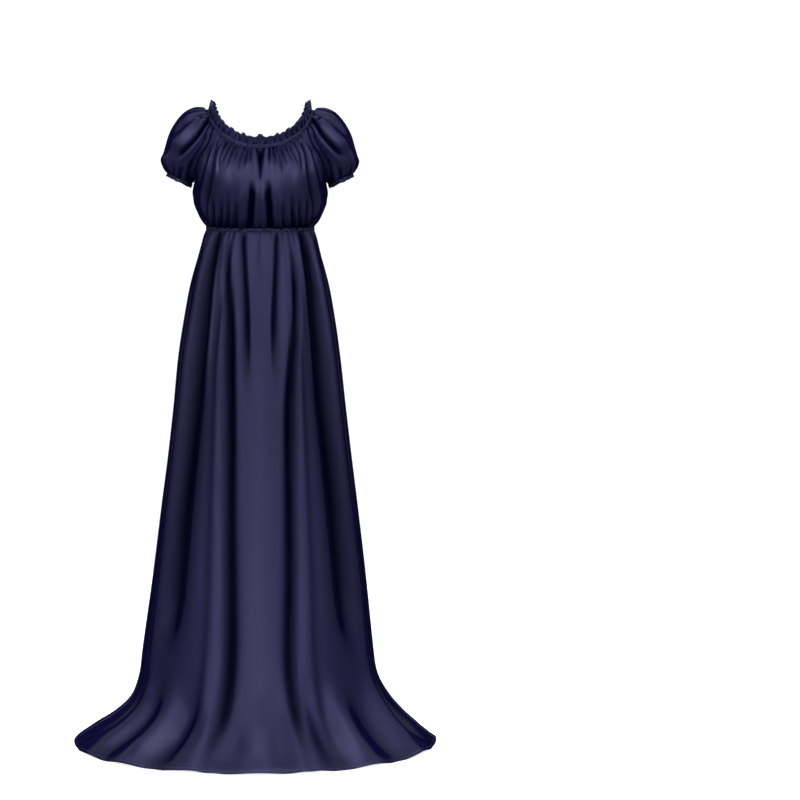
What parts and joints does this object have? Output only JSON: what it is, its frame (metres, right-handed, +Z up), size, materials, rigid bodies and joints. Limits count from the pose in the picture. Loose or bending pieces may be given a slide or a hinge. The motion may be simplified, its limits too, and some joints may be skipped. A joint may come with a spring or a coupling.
{
  "type": "medieval-style empire-waist dress",
  "caption": "Floor-length empire-waist dress in its worn, hollow form, with a gathered scoop neckline, standing ruffle, short puffed raglan sleeves and an elastic casing under the bust.",
  "frame": {"origin": "middle of the neckline at the height where its casing rests on the wearer's shoulders", "axes": "+Z up along the wearer's body, the front of the dress faces -Y, the wearer's left is at +X"},
  "size_m": [0.8282, 0.7685, 1.4617],
  "materials": {
    "satin": "dark navy satin, soft sheen",
    "satin_casing": "dark navy satin over elastic, gathered and stitched",
    "cord": "dark navy satin cord"
  },
  "bodies": {
    "root": {"bodice_front": "satin", "bodice_back": "satin", "sleeve_right": "satin", "sleeve_left": "satin", "cuff_right": "satin_casing", "cuff_left": "satin_casing", "neck_casing": "satin_casing", "neck_ruffle": "satin", "neck_knot": "cord", "waist_casing": "satin_casing", "skirt_front": "satin", "skirt_back": "satin"}
  },
  "joints": []
}
